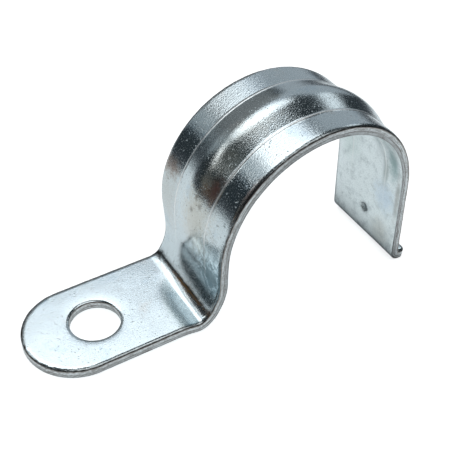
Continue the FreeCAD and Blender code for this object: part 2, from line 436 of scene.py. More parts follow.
    def _stain_share(self, tree: Tree, stock: Socket, broken: Socket, inner: Socket,
                     stain: Stain) -> Socket:
        """How much one stain covers, with an uneven edge, on its own side of the sheet.

        Args:
            tree: The material's node tree.
            stock: Place on the flat blank, in millimetres.
            broken: Fine noise that breaks the edge up.
            inner: Whether a place is on the conduit side.
            stain: The stain.

        Returns:
            The share of the stain's colour.
        """
        size = Vector((1 / stain.length, 1 / stain.width, 0.0))
        centre = Vector((-stain.along * size.x, -stain.across * size.y, 0.0))
        gap = add_node(tree, Node.LENGTH, add_node(tree, Node.PLACED, stock, size, centre))
        uneven = add_node(tree, Node.TIMES_PLUS, broken, self.stain_unevenness, gap)
        share = add_node(tree, Node.EASE, uneven, *self.stain_edge, stain.strength, 0.0)
        on_outer = float(stain.side is Side.OUTER)
        there = add_node(tree, Node.EASE, inner, 0.0, 1.0, on_outer, 1.0 - on_outer)
        return add_node(tree, Node.TIMES, share, there)


@dataclass(frozen=True)
class ShearedEdge:
    """Punched edge of the sheet: a burnished band above a torn one, under the same zinc.

    It gives a duller face with lengthwise bands, dark along the rolled edge and the burr.
    """

    name: str = "sheared_and_plated_steel_edge"
    bands: tuple[tuple[float, str], ...] = (
        (0.00, "5c5c5b"), (0.07, "a9acad"), (0.30, "c3c7c9"), (0.40, "8b8a88"),
        (0.46, "d3d7d9"), (0.70, "dfe3e4"), (0.78, "a39f9b"), (0.88, "4d4845"),
    )
    dark: str = "6b6560"
    dark_share: float = 0.75
    dirt_step: tuple[float, float] = (0.62, 0.84)
    roughness: float = 0.32
    mark_mm: tuple[float, float] = (1.8, 0.10)
    speck_mm: float = 0.22
    speck_share: float = 0.5
    wander: float = 0.16
    bump_mm: float = 0.035

    def build(self) -> bpy.types.Material:
        """Makes the node material.

        Returns:
            The material for the sheared faces.
        """
        material = empty_material(self.name)
        tree = material.node_tree
        stock = add_node(tree, Node.UV_MAP, uv_map="stock")
        along, across = self.mark_mm
        drawn = add_node(tree, Node.PLACED, stock, (1 / along, 1 / across, 1.0))
        marks = add_node(tree, Node.NOISE, drawn, 1.0, 4.0, 0.65)
        specks = add_node(tree, Node.NOISE, stock, 1 / self.speck_mm, 3.0, 0.6)
        through = add_node(tree, Node.CARRIED, attribute_name="through")
        wandering = add_node(tree, Node.TIMES_PLUS, marks, self.wander, through)
        level = add_node(tree, Node.MINUS, wandering, self.wander / 2)
        mixed = add_node(tree, Node.TIMES_PLUS, specks, self.speck_share, marks)
        dirt = add_node(tree, Node.EASE, mixed, *self.dirt_step, self.dark_share, 0.0)
        banded = add_node(tree, Node.TONES, level)
        fill_tones(banded.node.color_ramp, self.bands)
        colour = add_node(tree, Node.COLOUR_MIX, dirt, banded, linear(self.dark))
        finish_metal(tree, colour, self.roughness, mixed, self.bump_mm)
        return material


@dataclass(frozen=True)
class Stretch:
    """One flat or bent stretch of the strip, measured on the conduit side."""

    name: str
    length: float
    rows: float
    radius: float = 0.0
    turn: float = 0.0

    @classmethod
    def bend(cls, name: str, radius: float, degrees: float, rows: float) -> Stretch:
        """A bent stretch of the strip.

        Args:
            name: What the bend is called.
            radius: Radius of its conduit side.
            degrees: Its turn to the left.
            rows: Length of one row of faces.

        Returns:
            The stretch.
        """
        turn = math.radians(degrees)
        return cls(name, radius * abs(turn), rows, radius, turn)


@dataclass
class StripPath:
    """Side view of the strip as the press bends it, from the tab's end to the toe's tip."""

    sheet: float = 1.1
    conduit_radius: float = 10.65
    hole_to_conduit: float = 22.7
    conduit_height: float = 8.0
    foot_sweep_radius: float = 1.7
    foot_sweep_turn: float = 33.0
    foot_fold_radius: float = 0.85
    foot_fold_turn: float = 22.0
    heel_sweep_radius: float = 5.5
    near_leg_lean: float = 1.5
    far_leg_lean: float = 1.1
    far_leg_length: float = 9.45
    toe_bend_radius: float = 0.4
    toe_turn: float = 80.0
    toe_flat: float = 0.85
    tab_end: float = -7.5
    flat_row: float = 0.3
    foot_row: float = 0.16
    fold_row: float = 0.06
    saddle_row: float = 0.22
    toe_row: float = 0.09
    stretches: list[Stretch] = field(init=False)

    def __post_init__(self) -> None:
        """Works out the stretches of the strip, one after the other."""
        leg_angle = 90.0 + self.near_leg_lean
        heel_turn = leg_angle - self.foot_sweep_turn - self.foot_fold_turn
        foot = [
            Stretch.bend(name, radius + self.sheet, turn, row) for name, radius, turn, row in (
                ("foot_sweep", self.foot_sweep_radius, self.foot_sweep_turn, self.foot_row),
                ("foot_fold", self.foot_fold_radius, self.foot_fold_turn, self.fold_row),
                ("heel_sweep", self.heel_sweep_radius, heel_turn, self.foot_row))]
        leg = Vector((math.cos(math.radians(leg_angle)), math.sin(math.radians(leg_angle))))
        conduit = Vector((self.hole_to_conduit, self.conduit_height))
        top = conduit + Vector((-leg.y, leg.x)) * self.conduit_radius
        reach, _ = self.follow(foot, Vector((0.0, 0.0)), sum(bend.length for bend in foot))
        leg_length = (top.y - reach.y) / leg.y
        tab_length = (top - leg * leg_length - reach).x - self.tab_end
        wrap = 180.0 + self.near_leg_lean - self.far_leg_lean
        self.stretches = [
            Stretch("tab", tab_length, self.flat_row),
            *foot,
            Stretch("near_leg", leg_length, self.flat_row),
            Stretch.bend("saddle", self.conduit_radius, -wrap, self.saddle_row),
            Stretch("far_leg", self.far_leg_length, self.flat_row),
            Stretch.bend("toe_bend", self.toe_bend_radius + self.sheet, self.toe_turn,
                         self.toe_row),
            Stretch("toe", self.toe_flat, self.flat_row),
        ]

    def span(self, name: str) -> tuple[float, float]:
        """Finds a named stretch.

        Args:
            name: Name of the stretch.

        Returns:
            Where it begins and ends along the blank.
        """
        start = self.tab_end
        for stretch in self.stretches:
            if stretch.name == name:
                return start, start + stretch.length
            start += stretch.length
        raise KeyError(name)

    @property
    def length(self) -> float:
        """Length of the blank, measured on the conduit side."""
        return sum(stretch.length for stretch in self.stretches)

    def row_places(self) -> list[float]:
        """Lists the places along the blank where its faces are divided.

        Returns:
            One list for all stretches.
        """
        places: list[float] = []
        start = self.tab_end
        for stretch in self.stretches:
            count = max(1, round(stretch.length / stretch.rows))
            places += [start + stretch.length * i / count for i in range(count)]
            start += stretch.length
        return places[1:]

    @staticmethod
    def follow(stretches: list[Stretch], place: Vector, left: float) -> tuple[Vector, float]:
        """Walks along stretches that begin level.

        Args:
            stretches: The stretches, in their order.
            place: Where the first one begins.
            left: How far to walk; past the end the last stretch goes on.

        Returns:
            The place reached and the direction there, in radians.
        """
        angle = 0.0
        for number, stretch in enumerate(stretches):
            last = number == len(stretches) - 1
            share = left / stretch.length if last else min(1.0, left / stretch.length)
            heading = Vector((math.cos(angle), math.sin(angle)))
            if stretch.turn:
                side = math.copysign(1.0, stretch.turn)
                normal = Vector((-heading.y, heading.x)) * side
                centre = place + normal * stretch.radius
                angle += stretch.turn * share
                place = centre - Vector((-math.sin(angle), math.cos(angle))) * side * stretch.radius
            else:
                place = place + heading * stretch.length * share
            left -= stretch.length
            if left <= 0:
                break
        return place, angle

    def bent(self, along: float, height: float) -> tuple[Vector, float]:
        """Finds where a point of the flat blank lies once it is bent.

        Args:
            along: Distance along the blank, in the tab's own X.
            height: Height of the point over the blank's conduit side.

        Returns:
            The place in the side view and the strip's direction there, in radians.
        """
        start = Vector((self.tab_end, 0.0))
        place, angle = self.follow(self.stretches, start, along - self.tab_end)
        return place + Vector((-math.sin(angle), math.cos(angle))) * height, angle


@dataclass(frozen=True)
class Ripple:
    """Smooth unevenness: waves per millimetre both ways, the noise's level and its height."""

    along: float
    across: float
    level: float
    height: float = 1.0

    def at(self, along: float, across: float) -> float:
        """Its height at a place, on either side of 0."""
        place = Vector((along * self.along, across * self.across, self.level))
        return noise.noise(place) * self.height


@dataclass(frozen=True)
class Rib:
    """The stiffening rib pressed over the saddle: a round crown between two creases."""

    width: float = 6.0
    height: float = 0.65
    sheet: float = 1.1
    crown_radius: float = 4.2
    bead_width: float = 0.11
    bead_height: float = 0.05
    bead_end: float = 4.5
    bead_fade: float = 8.0
    full_past: float = -5.5
    end_past: float = 1.5

    @cached_property
    def slope(self) -> float:
        """Works out how steep the flanks are, which run straight out of the round crown.

        Returns:
            The slope in radians.
        """
        both = 2 * self.crown_radius - self.height
        root = math.sqrt(self.width ** 2 - 4 * self.height * both)
        return 2 * math.atan((self.width - root) / (2 * both))

    @property
    def groove_half_width(self) -> float:
        """Half the width of the groove on the conduit side."""
        return self.width / 2 - self.sheet * math.tan(self.slope / 2)

    def profile(self, side: Side, across: float) -> float:
        """Section of the rib: a round crown between straight flanks.

        Args:
            side: The face that is asked for.
            across: Distance from the strip's middle line.

        Returns:
            Height over the plain sheet.
        """
        conduit = side is Side.CONDUIT
        radius = self.crown_radius - (self.sheet if conduit else 0.0)
        half = self.groove_half_width if conduit else self.width / 2
        slope, size = self.slope, abs(across)
        if size >= radius * math.sin(slope):
            return max(0.0, (half - size) * math.tan(slope))
        return self.height - radius + math.sqrt(radius ** 2 - size ** 2)

    def rise(self, side: Side, across: float, past: float) -> float:
        """How far the rib lifts a face of the sheet.

        Args:
            side: The face that is asked for.
            across: Distance from the strip's middle line.
            past: Distance past the saddle's nearer end, below zero on the saddle.

        Returns:
            The rise square to the face, never below zero.
        """
        share = (self.end_past - past) / (self.end_past - self.full_past)
        share = min(1.0, max(0.0, share))
        return self.profile(side, across) * share * share * (3 - 2 * share)

    def bead(self, side: Side, across: float, past: float) -> float:
        """The fine bead that the die's edge leaves along each crease.

        Args:
            side: The face that is asked for.
            across: Distance from the strip's middle line.
            past: Distance past the saddle's nearer end.

        Returns:
            Height of the bead.
        """
        crease = self.width / 2 if side is Side.OUTER else self.groove_half_width
        off = (abs(across) - crease) / self.bead_width
        fade = min(1.0, max(0.0, (self.bead_end - past) / self.bead_fade))
        return self.bead_height * fade * math.exp(-off * off)


@dataclass
class PressedStrap:
    """The whole strap: flat screw tab, near leg, saddle with its rib, far leg and turned toe."""

    path: StripPath = field(default_factory=StripPath)
    rib: Rib = field(default_factory=Rib)
    tab_width: float = 11.2
    saddle_width: float = 12.6
    toe_width: float = 10.3
    toe_corner: float = 0.7
    hole_radius: float = 2.6
    hole_roll: float = 0.32
    edge_roll: float = 0.5
    roll_squash: float = 0.44
    burr_break: float = 0.05
    flare_start: float = 1.4
    flare_rise: float = 12.0
    taper_past_toe: float = 2.0
    steady_half_width: float = 3.2
    rim_margin: float = 0.1
    dimple_radius: float = 0.6
    dimple_depth: float = 0.35
    dimple_above_toe: float = 2.75
    column: float = 0.25
    fine_column: float = 0.09
    fine_zone: float = 0.8
    rim_line: float = 0.08
    dip_row: float = 0.15
    dip_rows: int = 11
    mark_rows: int = 8
    corner_steps: int = 10
    contact_steps: int = 40
    flat_face_weight: int = 60
    wall_layers: int = 4
    hole_steps: int = 96
    end_steps: int = 48
    roll_segments: int = 7
    sheet_layer: str = "stock"
    map_turn: float = 0.5
    sheared_turn: float = 0.35
    outer_zone: float = 0.6
    conduit_zone: float = 0.1
    hole_rim_reach: float = 0.05
    dip_depth: float = 0.28
    dip_offset: float = 0.2
    dip_length: float = 1.2
    dip_far_end: float = 2.9
    dip_fade: float = 6.0
    dish_depth: float = 0.06
    dish_width: float = 0.40
    tear_depth: float = 0.035
    tear_top: float = 0.62
    tear_fade: float = 0.12
    burr_share: float = 0.08
    rim_unevenness: float = 0.045
    waves: Ripple = Ripple(0.11, 0.16, 3.7, 0.020)
    ripples: Ripple = Ripple(0.45, 0.60, 9.1, 0.0035)
    draw_marks: Ripple = Ripple(0.10, 1.3, 1.3, 0.014)
    draw_mark_past: float = 3.0
    rim_drift: Ripple = Ripple(1.9, 1.0, 2.2)
    rim_nicks: Ripple = Ripple(5.0, 3.0, 6.4)
    torn_face: Ripple = Ripple(1.7, 4.0, 5.3, 0.8)
    calm_grain: float = 0.52
    strain_reach: float = 4.0
    # Painted rim shade is stronger on the far rim and weaker round the screw hole.
    far_rim_shade: float = 2.2
    hole_rim_shade: float = 0.5
    nick_place: float = -6.0
    nick_length: float = 2.6
    nick_depth: tuple[float, float] = (0.4, 2.2)
    torn_depth: float = 0.6

    def punch_half_blank(self) -> BMesh:
        """Draws half of the flat blank's outline, with half of the screw hole, and fills it.

        Returns:
            A mesh with one face, in the plane of the sheet's conduit side.
        """
        bm = bmesh.new()
        half = self.tab_width / 2
        end_centre = self.path.tab_end + half
        tip = self.path.tab_end + self.path.length
        pen = bm.verts.new((self.path.tab_end, 0.0, 0.0))
        first = pen
        pen = self._arc(bm, pen, Vector((end_centre, 0.0, 0.0)), -math.pi / 2, self.end_steps)
        pen = self._line(bm, pen, Vector((tip - self.toe_corner - pen.co.x, 0.0, 0.0)))
        corner = Vector((tip - self.toe_corner, half - self.toe_corner, 0.0))
        pen = self._arc(bm, pen, corner, -math.pi / 2, self.corner_steps)
        pen = self._line(bm, pen, Vector((0.0, -pen.co.y, 0.0)))
        pen = self._line(bm, pen, Vector((self.hole_radius - tip, 0.0, 0.0)))
        pen = self._arc(bm, pen, Vector(), math.pi, self.hole_steps // 2)
        bm.edges.new((pen, first))
        bmesh.ops.contextual_create(bm, geom=bm.edges[:])
        bmesh.ops.recalc_face_normals(bm, faces=bm.faces[:])
        if bm.faces[:][0].normal.z > 0:
            bmesh.ops.reverse_faces(bm, faces=bm.faces[:])
        return bm

    @staticmethod
    def _arc(bm: BMesh, start: BMVert, centre: Vector, angle: float, steps: int) -> BMVert:
        """Spins a vertex about an upright axis.

        Args:
            bm: Mesh that gets the arc.
            start: Vertex to start from.
            centre: Place of the axis.
            angle: How far to spin, in radians.
            steps: Number of edges.

        Returns:
            The arc's last vertex.
        """
        spun = bmesh.ops.spin(bm, geom=[start], cent=centre, axis=(0, 0, 1), dvec=(0, 0, 0),
                              angle=angle, steps=steps, use_merge=False, use_duplicate=False)
        return next(e for e in spun["geom_last"] if isinstance(e, BMVert))

    @staticmethod
    def _line(bm: BMesh, start: BMVert, step: Vector) -> BMVert:
        """Extrudes a vertex along a straight line.

        Args:
            bm: Mesh that gets the line.
            start: Vertex to start from.
            step: Way to the other end.

        Returns:
            The line's end.
        """
        end = bmesh.ops.extrude_vert_indiv(bm, verts=[start])["verts"][0]
        bmesh.ops.translate(bm, verts=[end], vec=step)
        return end

    def thicken(self, bm: BMesh) -> None:
        """Gives the half blank its thickness and leaves its middle plane open.

        Args:
            bm: The half blank, one face.
        """
        made = bmesh.ops.extrude_face_region(bm, geom=bm.faces[:])
        moved = [e for e in made["geom"] if isinstance(e, BMVert)]
        bmesh.ops.translate(bm, verts=moved, vec=(0.0, 0.0, self.path.sheet))
        middle = [f for f in bm.faces if all(abs(v.co.y) < LEVEL_MM for v in f.verts)]
        bmesh.ops.delete(bm, geom=middle, context="FACES")

    def roll_edges(self, bm: BMesh) -> None:
        """Rolls the punched edges over, widely on the punch's side and finely on the die's.

        Args:
            bm: The half blank.
        """
        rims = {"hole": [], "outline": [], "burr": []}
        for edge in bm.edges:
            ends = [v.co for v in edge.verts]
            if not edge.is_manifold or abs(ends[0].z - ends[1].z) > LEVEL_MM:
                continue
            at_hole = all(math.hypot(c.x, c.y) < self.hole_radius + ON_HOLE_MM for c in ends)
            if ends[0].z < self.path.sheet / 2:
                rims["burr"].append(edge)
            else:
                rims["hole" if at_hole else "outline"].append(edge)
        for name, offset, segments in (
            ("outline", self.edge_roll, self.roll_segments),
            ("hole", self.hole_roll, self.roll_segments),
            ("burr", self.burr_break, 1),
        ):
            bmesh.ops.bevel(bm, geom=rims[name], offset=offset, offset_type="OFFSET",
                            affect="EDGES", segments=segments, profile=0.5, material=-1)
        for vert in bm.verts:
            if vert.co.z > self.path.sheet / 2:
                vert.co.z = self.path.sheet - (self.path.sheet - vert.co.z) * self.roll_squash

    def dice(self, bm: BMesh) -> None:
        """Divides the blank into the small faces that the bends, the rib and the mark need.

        Args:
            bm: The half blank.
        """
        half = self.tab_width / 2
        columns = [self.column * i for i in range(1, int(half / self.column))]
        columns += [self.rib.width / 2, self.rib.groove_half_width]
        columns += [self.fine_column * i for i in range(1, int(self.fine_zone / self.fine_column))]
        columns += [self.rib.width / 2 + self.rib.bead_width * i / 2 for i in range(-5, 6) if i]
        columns += [half - self.edge_roll - self.rim_line]
        rows = self.path.row_places()
        mark = self.mark_place()
        dip = self.path.span("foot_sweep")[0]
        rows += [dip - self.dip_row * i for i in range(1, self.dip_rows + 1)]
        rows += [mark + self.fine_column * i for i in range(-self.mark_rows, self.mark_rows + 1)]
        layers = [self.path.sheet * i / self.wall_layers for i in range(1, self.wall_layers)]
        cuts = [(Vector((0.0, 0.0, z)), Vector((0.0, 0.0, 1.0))) for z in layers]
        cuts += [(Vector((0.0, y, 0.0)), Vector((0.0, 1.0, 0.0))) for y in columns]
        cuts += [(Vector((x, 0.0, 0.0)), Vector((1.0, 0.0, 0.0))) for x in rows]
        for place, normal in cuts:
            bmesh.ops.bisect_plane(bm, geom=bm.verts[:] + bm.edges[:] + bm.faces[:],
                                   dist=SAME_MM, plane_co=place, plane_no=normal)

    def mark_place(self) -> float:
        """Place of the punch mark along the blank."""
        return self.path.span("far_leg")[1] - self.dimple_above_toe

    def close_halves(self, bm: BMesh) -> None:
        """Mirrors the half blank to the other side of its middle plane.

        Args:
            bm: The half blank, open along its middle plane.
        """
        bmesh.ops.mirror(bm, geom=bm.verts[:] + bm.edges[:] + bm.faces[:], axis="Y",
                         merge_dist=SAME_MM)
        bmesh.ops.remove_doubles(bm, verts=bm.verts[:], dist=SAME_MM)
        bmesh.ops.recalc_face_normals(bm, faces=bm.faces[:])

    def map_stock(self, bm: BMesh) -> None:
        """Gives the faces a map in millimetres along and across the rolled sheet.

        The map goes on over the sheared edge, so that its marks run along it.

        Args:
            bm: The flat blank.
        """
        layer = bm.loops.layers.uv.new(self.sheet_layer)
        for face in bm.faces:
            sheared = abs(face.normal.z) < self.map_turn
            for loop in face.loops:
                spot = loop.vert.co
                drop = self.path.sheet - spot.z if sheared else 0.0
                across = math.copysign(abs(spot.y) + drop, spot.y)
                loop[layer].uv = (spot.x, across)

    def half_width(self, place: Vector) -> float:
        """Half of the strap's width, which swells up the near leg and tapers to the toe.

        Args:
            place: Place in the side view.

        Returns:
            The half width there.
        """
        half_tab, half_saddle = self.tab_width / 2, self.saddle_width / 2
        width = half_saddle
        if place.x < self.path.hole_to_conduit:
            swell = half_saddle - half_tab
            radius = (self.flare_rise ** 2 + swell ** 2) / (4 * swell)
            climbed = min(max(place.y - self.flare_start, 0.0), self.flare_rise)
            from_end = min(climbed, self.flare_rise - climbed)
            bulge = radius - math.sqrt(radius ** 2 - from_end ** 2)
            low = climbed < self.flare_rise / 2
            width = half_tab + bulge if low else half_saddle - bulge
        taper_start = self.path.hole_to_conduit - self.path.conduit_radius * math.sqrt(0.5)
        tip, _ = self.path.bent(self.path.tab_end + self.path.length, 0.0)
        run = tip.x + self.taper_past_toe - taper_start
        drop = half_saddle - self.toe_width / 2
        radius = (run ** 2 + drop ** 2) / (2 * drop)
        past = max(0.0, place.x - taper_start)
        return min(width, half_saddle - (radius - math.sqrt(radius ** 2 - past ** 2)))

    def swell(self, across: float, wanted: float) -> float:
        """Moves a point of the blank sideways so that its edge comes to the wanted half width.

        Args:
            across: Distance of the point from the middle line of the blank.
            wanted: Half width that the strap has there.

        Returns:
            The new distance. The rib's zone stays, and the rolled edge keeps its width.
        """
        size, half = abs(across), self.tab_width / 2
        rim = half - self.edge_roll - self.rim_margin
        if size <= self.steady_half_width:
            return across
        if size >= rim:
            size += wanted - half
        else:
            share = (size - self.steady_half_width) / (rim - self.steady_half_width)
            size = self.steady_half_width + share * (wanted - half + rim - self.steady_half_width)
        return math.copysign(size, across)

    def waviness(self, along: float, across: float, past: float) -> float:
        """Small unevenness of a pressed sheet, with lengthwise draw marks down the legs.

        Args:
            along: Place along the blank.
            across: Place across it.
            past: Distance past the saddle's nearer end.

        Returns:
            How far the sheet is lifted.
        """
        wide, fine, drawn = (
            ripple.at(along, across) for ripple in (self.waves, self.ripples, self.draw_marks))
        on_leg = min(1.0, max(0.0, 1.5 - abs(past - self.draw_mark_past) / 2))
        return wide + fine + drawn * on_leg

    def dip(self, along: float, across: float) -> float:
        """Drop of the tab just before the foot bend, where the die pressed it, on one side.

        Args:
            along: Place along the blank.
            across: Place across it.

        Returns:
            The drop, never above zero.
        """
        from_bend = along - self.path.span("foot_sweep")[0] - self.dip_offset
        near = math.exp(-(from_bend / self.dip_length) ** 2)
        side = min(1.0, max(0.0, (self.dip_far_end - across) / self.dip_fade))
        return -self.dip_depth * side * side * (3 - 2 * side) * near

    def rim_wear(self, along: float, across: float) -> float:
        """Unevenness of the rolled edge, with deeper nicks at the tab's near corner.

        Args:
            along: Place along the blank.
            across: Place across it.

        Returns:
            How far the rolled edge is lifted.
        """
        worn = math.exp(-((along - self.nick_place) / self.nick_length) ** 2) if across < 0 else 0.0
        slow, quick = self.rim_drift.at(along, across), self.rim_nicks.at(along, across)
        plain, deeper = self.nick_depth
        return self.rim_unevenness * (slow + quick * (plain + deeper * worn) - worn)

    def dish(self, along: float, across: float, share: float) -> float:
        """Drop of the upper face towards the screw hole, where the punch drew it in."""
        gap = math.hypot(along, across) - self.hole_radius
        return -self.dish_depth * math.exp(-gap / self.dish_width) * share

    def tear(self, along: float, height: float) -> float:
        """How far the torn part of a sheared face lies back from the burnished part.

        Args:
            along: Place along the blank.
            height: Height over the sheet's conduit side.

        Returns:
            The depth, square to the sheared face.
        """
        share = height / self.path.sheet
        torn = min(1.0, max(0.0, (self.tear_top - share) / self.tear_fade))
        torn *= min(1.0, share / self.burr_share)
        return self.tear_depth * torn * (self.torn_depth + self.torn_face.at(along, height))

    def bend(self, bm: BMesh) -> None:
        """Bends the blank along its path and presses the rib and the unevenness.

        The vertices also carry what the finish reads: how deep they lie in the sheet, how
        far the rim is rolled, which weights its painted shade, where the bead is burnished and
        given its painted highlight, and where the sheet was strained.

        Args:
            bm: The flat blank.
        """
        saddle_from, saddle_to = self.path.span("saddle")
        burnish_and_highlight = bm.verts.layers.float.new("burnish_and_highlight")
        through = bm.verts.layers.float.new("through")
        rim = bm.verts.layers.float.new("rim")
        strain = bm.verts.layers.float.new("strain")
        roll_depth = self.edge_roll * self.roll_squash
        for vert in bm.verts:
            along, across, height = vert.co
            share = height / self.path.sheet
            rolled = min(1.0, (self.path.sheet - height) / roll_depth) if share > 0.5 else 0.0
            at_hole = math.hypot(along, across) < (
                self.hole_radius + self.hole_roll + self.hole_rim_reach)
            # Weight of the painted rim shade: stronger on the far rim, weaker at the hole.
            rim_shade = self.far_rim_shade if across > 0 else 1.0
            vert[rim] = min(1.0, rolled * (self.hole_rim_shade if at_hole else rim_shade))
            centre_line, angle = self.path.bent(along, self.path.sheet / 2)
            normal = Vector((-math.sin(angle), math.cos(angle)))
            from_rim = self.tab_width / 2 - abs(across)
            across = self.swell(across, self.half_width(centre_line))
            if from_rim < ON_OUTLINE_MM and along > self.path.tab_end + self.tab_width / 2:
                across -= math.copysign(self.tear(along, height), across)
            past = max(saddle_from - along, along - saddle_to)
            pulled = min(1.0, max(0.0, (1 - past) / self.strain_reach))
            vert[strain] = self.calm_grain + (1 - self.calm_grain) * pulled
            lifts = [self.rib.rise(side, across, past) for side in (Side.CONDUIT, Side.OUTER)]
            lift = lifts[0] * (1 - share) + lifts[1] * share
            outer = share > self.outer_zone
            if outer or share < self.conduit_zone:
                side, sign = (Side.OUTER, 1.0) if outer else (Side.CONDUIT, -1.0)
                bead = self.rib.bead(side, across, past)
                lift += sign * bead
                # The bead's height also sets its burnished colour and its painted highlight.
                vert[burnish_and_highlight] = bead / self.rib.bead_height
            lift += self.waviness(along, across, past) + self.dip(along, across)
            lift += self.dish(along, across, share)
            if height < self.path.sheet - SAME_MM and share > 0.5:
                lift += self.rim_wear(along, across) * rolled
            place, _ = self.path.bent(along, height)
            place = place + normal * lift
            vert.co = (place.x, across, place.y)
            vert[through] = share

    def press_mark(self, bm: BMesh) -> None:
        """Presses the round punch mark into the conduit side of the far leg.

        Args:
            bm: The bent strap.
        """
        place, angle = self.path.bent(self.mark_place(), 0.0)
        inward = Vector((-math.sin(angle), 0.0, math.cos(angle)))
        ball = (self.dimple_radius ** 2 + self.dimple_depth ** 2) / (2 * self.dimple_depth)
        centre = Vector((place.x, 0.0, place.y)) + inward * (self.dimple_depth - ball)
        for vert in bm.verts:
            offset = vert.co - centre
            off_axis = (offset - inward * offset.dot(inward)).length
            reach = math.sqrt(max(0.0, ball ** 2 - off_axis ** 2))
            depth = reach - offset.dot(inward)
            if off_axis < self.dimple_radius and 0 < depth < 2 * self.dimple_depth:
                vert.co += inward * depth

    def floor_contacts(self) -> tuple[Vector, Vector]:
        """Finds what the strap rests on.

        Returns:
            The lowest places of the tab's end and of the toe, in the side view.
        """
        tab = Vector((self.path.tab_end, 0.0))
        first, last = self.path.span("toe_bend")
        places = [self.path.bent(first + (last - first) * i / self.contact_steps, 0.0)[0]
                  for i in range(self.contact_steps + 1)]
        return tab, min(places, key=lambda place: place.y)

    def mark_faces(self, bm: BMesh) -> None:
        """Sorts the faces of the flat blank into plated and sheared ones."""
        for face in bm.faces:
            face.material_index = 1 if abs(face.normal.z) < self.sheared_turn else 0

    def stains(self) -> tuple[Stain, ...]:
        """Marks of use and of the press, with painted shade and a painted reflection among them, on
        the outer face and then on the conduit side.

        Returns:
            The stains, the later ones over the earlier ones.
        """
        sweep = self.path.span("foot_sweep")[0]
        fold = self.path.span("foot_fold")[0]
        saddle = self.path.span("saddle")[0]
        mark = self.mark_place()
        leg = self.path.span("near_leg")[0]
        return (
            Stain(sweep - 0.8, -2.3, 1.5, 3.2, 0.55, "84939a"),
            # Painted shade: a near-black line where the foot fold begins, in its inside corner.
            Stain(fold + 0.10, 0.0, 0.10, 6.5, 0.8, "2c2a28"),
            Stain(fold + 0.38, -1.8, 0.80, 7.0, 1.0, "86694a"),
            # Painted shade: a near-black line where the foot fold ends.
            Stain(fold + 0.72, 0.0, 0.18, 8.0, 0.85, "2f3130"),
            # Painted shade: a near-black spot where the fold's inside corner meets the far rolled
            # rim.
            Stain(fold + 0.15, 5.2, 1.3, 1.7, 0.95, "1e1c1b"),
            # Teal patch low on the near leg: a cool passivation tint with a painted reflection in
            # it.
            Stain(leg + 0.3, -3.8, 4.9, 4.5, 0.85, "5f7982"),
            Stain(saddle + 6.2, -2.3, 1.8, 1.0, 0.9, "6e3330"),
            Stain(saddle + 2.2, -1.2, 5.5, 3.2, 0.45, "c4b8a4"),
            Stain(saddle + 9.5, -1.0, 7.0, 2.2, 0.40, "8f8b7c"),
            Stain(saddle + 4.0, -1.5, 0.4, 0.3, 0.5, "5c544c"),
            Stain(saddle + 4.6, -0.8, 0.4, 0.3, 0.5, "5c544c"),
            Stain(saddle + 3.2, -0.5, 0.4, 0.3, 0.5, "5c544c"),
            Stain(saddle + 4.6, 4.6, 1.5, 1.6, 0.75, "7d6355"),
            Stain(saddle + 1.5, 4.4, 5.0, 2.4, 0.35, "b3aba0"),
            Stain(saddle + 8.0, -5.3, 3.2, 0.5, 0.8, "4a332a"),
            # Painted shade: dark inside the punch mark.
            Stain(mark, 0.0, 0.9, 0.9, 0.95, "4a5458", Side.CONDUIT),
            Stain(mark - 3.7, -3.2, 2.6, 2.4, 0.45, "b4c8dc", Side.CONDUIT),
            Stain(mark - 7.0, 3.4, 3.0, 2.4, 0.35, "b3c6c0", Side.CONDUIT),
            Stain(mark - 7.6, -2.9, 2.6, 0.7, 0.60, "77847f", Side.CONDUIT),
            # Painted shade: a teal-grey band between the groove and the near rim, at the saddle's
            # far end.
            Stain(mark - 9.3, -4.3, 3.4, 1.1, 0.80, "7f9c9b", Side.CONDUIT),
            Stain(mark - 4.8, -5.2, 4.4, 0.5, 0.50, "7d766c", Side.CONDUIT),
            Stain(mark + 1.2, -3.0, 2.4, 2.0, 0.30, "a89f8c", Side.CONDUIT),
        )

    def build(self) -> bpy.types.Object:
        """Makes the strap as one closed mesh in metres.

        Returns:
            The object, which stands where the frame has the strap.
        """
        bm = self.punch_half_blank()
        self.thicken(bm)
        self.roll_edges(bm)
        self.dice(bm)
        self.close_halves(bm)
        self.map_stock(bm)
        self.mark_faces(bm)
        self.bend(bm)
        self.press_mark(bm)
        bmesh.ops.scale(bm, vec=(METRES_PER_MM,) * 3, verts=bm.verts[:])
        mesh = finished_mesh(bm, "pressed_strap")
        mesh.shade_smooth()
        mesh.materials.append(ZincPlate(stains=self.stains()).build())
        mesh.materials.append(ShearedEdge().build())
        piece = add_object("pressed_strap", mesh)
        piece.modifiers.new("even_shading", "WEIGHTED_NORMAL").weight = self.flat_face_weight
        return piece


class LampShape(Enum):
    """Outline of a soft light."""

    PANEL = "RECTANGLE"
    DISC = "ELLIPSE"


@dataclass(frozen=True)
class Lamp:
    """One soft light, placed by its direction from the strap."""

    name: str
    azimuth: float
    elevation: float
    width: float
    height: float
    radiance: float
    colour: str = "ffffff"
    shape: LampShape = LampShape.PANEL
    tilt: float = 0.0
    distance: float = 0.5

    @property
    def area(self) -> float:
        """Area of the lit face in square metres."""
        return self.width * self.height * (math.pi / 4 if self.shape is LampShape.DISC else 1.0)


